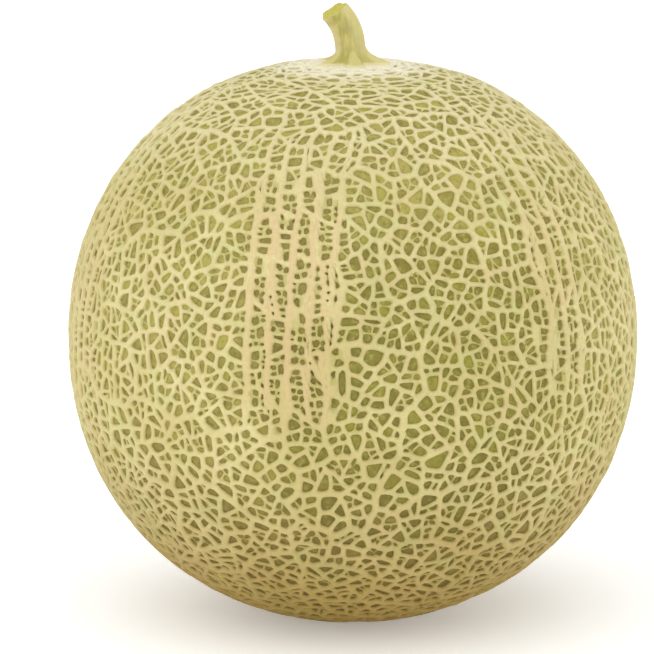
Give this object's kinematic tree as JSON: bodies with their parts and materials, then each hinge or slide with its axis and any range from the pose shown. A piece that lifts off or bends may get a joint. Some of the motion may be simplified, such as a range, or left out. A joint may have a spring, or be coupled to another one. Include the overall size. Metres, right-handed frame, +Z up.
{
  "type": "netted melon",
  "caption": "Round netted melon with a raised corky net over its skin, a flat blossom scar to rest on and a short ribbed stem cut off at a slant.",
  "frame": {"origin": "centre of the flat blossom scar that the fruit rests on", "axes": "+Z up through the stem, and -Y towards the side that the picture shows; the stem bends to -X"},
  "size_m": [0.1503, 0.1494, 0.1634],
  "materials": {
    "rind": "matt corky net over satin green skin",
    "stem": "satin, ribbed"
  },
  "bodies": {
    "root": {"fruit": "rind", "stem": "stem"}
  },
  "joints": []
}
